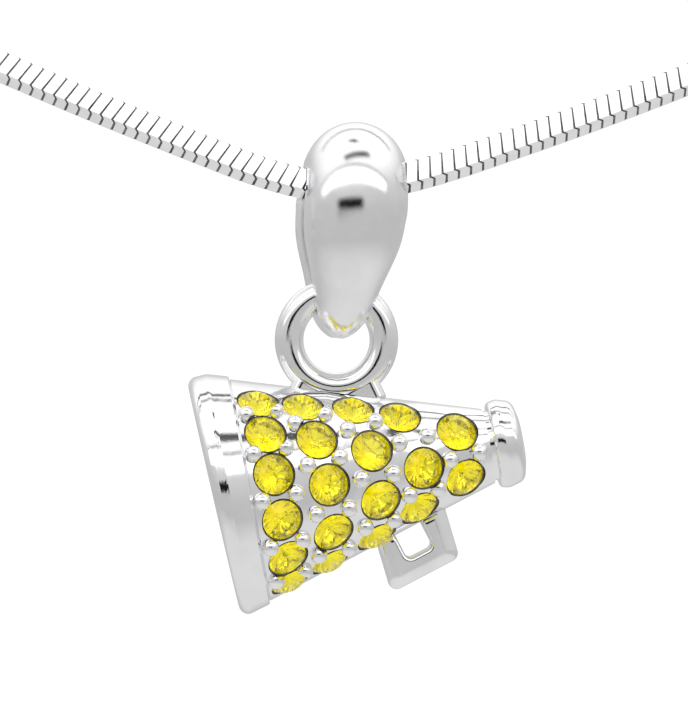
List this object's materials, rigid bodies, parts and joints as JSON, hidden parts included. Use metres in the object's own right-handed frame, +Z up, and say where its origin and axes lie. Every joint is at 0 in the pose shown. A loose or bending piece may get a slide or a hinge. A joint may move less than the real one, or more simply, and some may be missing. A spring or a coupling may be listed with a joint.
{
  "type": "cheer megaphone pendant",
  "caption": "Megaphone charm set with yellow stones, hung by a ring in a domed bail that swings on a short taut length of square snake chain.",
  "frame": {"origin": "middle of the chain inside the bail, where the pendant rides", "axes": "+Z up, +X from the megaphone's bell to its mouthpiece, -Y is the stone-set front"},
  "size_m": [0.0443, 0.0116, 0.0288],
  "materials": {
    "snake_chain_plate": "bright rhodium plate on brass",
    "fittings_plate": "bright rhodium plate on brass",
    "bail_plate": "mirror-polished rhodium plate",
    "charm_plate": "mirror-polished rhodium plate",
    "yellow_stone": "faceted bright yellow glass, foiled back"
  },
  "bodies": {
    "chain": {"snake_chain": "snake_chain_plate", "chain_cap_left": "fittings_plate", "chain_cap_right": "fittings_plate"},
    "bail": {"bail": "bail_plate"},
    "charm": {"hanger_ring": "charm_plate", "horn": "charm_plate", "bell_rim": "charm_plate", "mouthpiece": "charm_plate", "handle": "charm_plate", "stone_1_1": "yellow_stone", "stone_1_2": "yellow_stone", "stone_1_3": "yellow_stone", "stone_1_4": "yellow_stone", "stone_1_5": "yellow_stone", "stone_1_6": "yellow_stone", "stone_2_1": "yellow_stone", "stone_2_2": "yellow_stone", "stone_2_3": "yellow_stone", "stone_2_4": "yellow_stone", "stone_2_5": "yellow_stone", "stone_3_1": "yellow_stone", "stone_3_2": "yellow_stone", "stone_3_3": "yellow_stone", "stone_3_4": "yellow_stone", "stone_4_1": "yellow_stone", "stone_4_2": "yellow_stone", "stone_4_3": "yellow_stone", "stone_5_1": "yellow_stone", "stone_5_2": "yellow_stone"},
    "clasp_jump_ring": {"clasp_jump_ring": "fittings_plate"},
    "end_ring": {"end_ring": "fittings_plate"},
    "clasp": {"clasp_body": "fittings_plate", "clasp_pin": "fittings_plate", "clasp_spring": "fittings_plate"},
    "clasp_trigger": {"clasp_trigger": "fittings_plate"}
  },
  "joints": [
    {"name": "bail_swing", "type": "hinge", "parent": "chain", "child": "bail", "pos_m": [0, 0, 0.00012], "axis": [1, 0, 0], "range_deg": [-75, 75]},
    {"name": "charm_swing", "type": "hinge", "parent": "bail", "child": "charm", "pos_m": [-0.00083, 0, -0.00727], "axis": [0, 1, 0], "range_deg": [-60, 60]},
    {"name": "clasp_ring_swing", "type": "hinge", "parent": "chain", "child": "clasp_jump_ring", "pos_m": [-0.02057, 0, 0.00736], "axis": [0, 1, 0], "range_deg": [-20, 50]},
    {"name": "end_ring_swing", "type": "hinge", "parent": "chain", "child": "end_ring", "pos_m": [0.01999, 0, 0.00673], "axis": [0, 1, 0], "range_deg": [-50, 30]},
    {"name": "clasp_swing", "type": "hinge", "parent": "clasp_jump_ring", "child": "clasp", "pos_m": [-0.02057, 0, 0.00557], "axis": [1, 0, 0], "range_deg": [-60, 60]},
    {"name": "trigger_pull", "type": "hinge", "parent": "clasp", "child": "clasp_trigger", "pos_m": [-0.02115, 0, 0.00163], "axis": [0, 1, 0], "range_deg": [0, 18], "stiffness_Nm_per_rad": 0.0002}
  ]
}
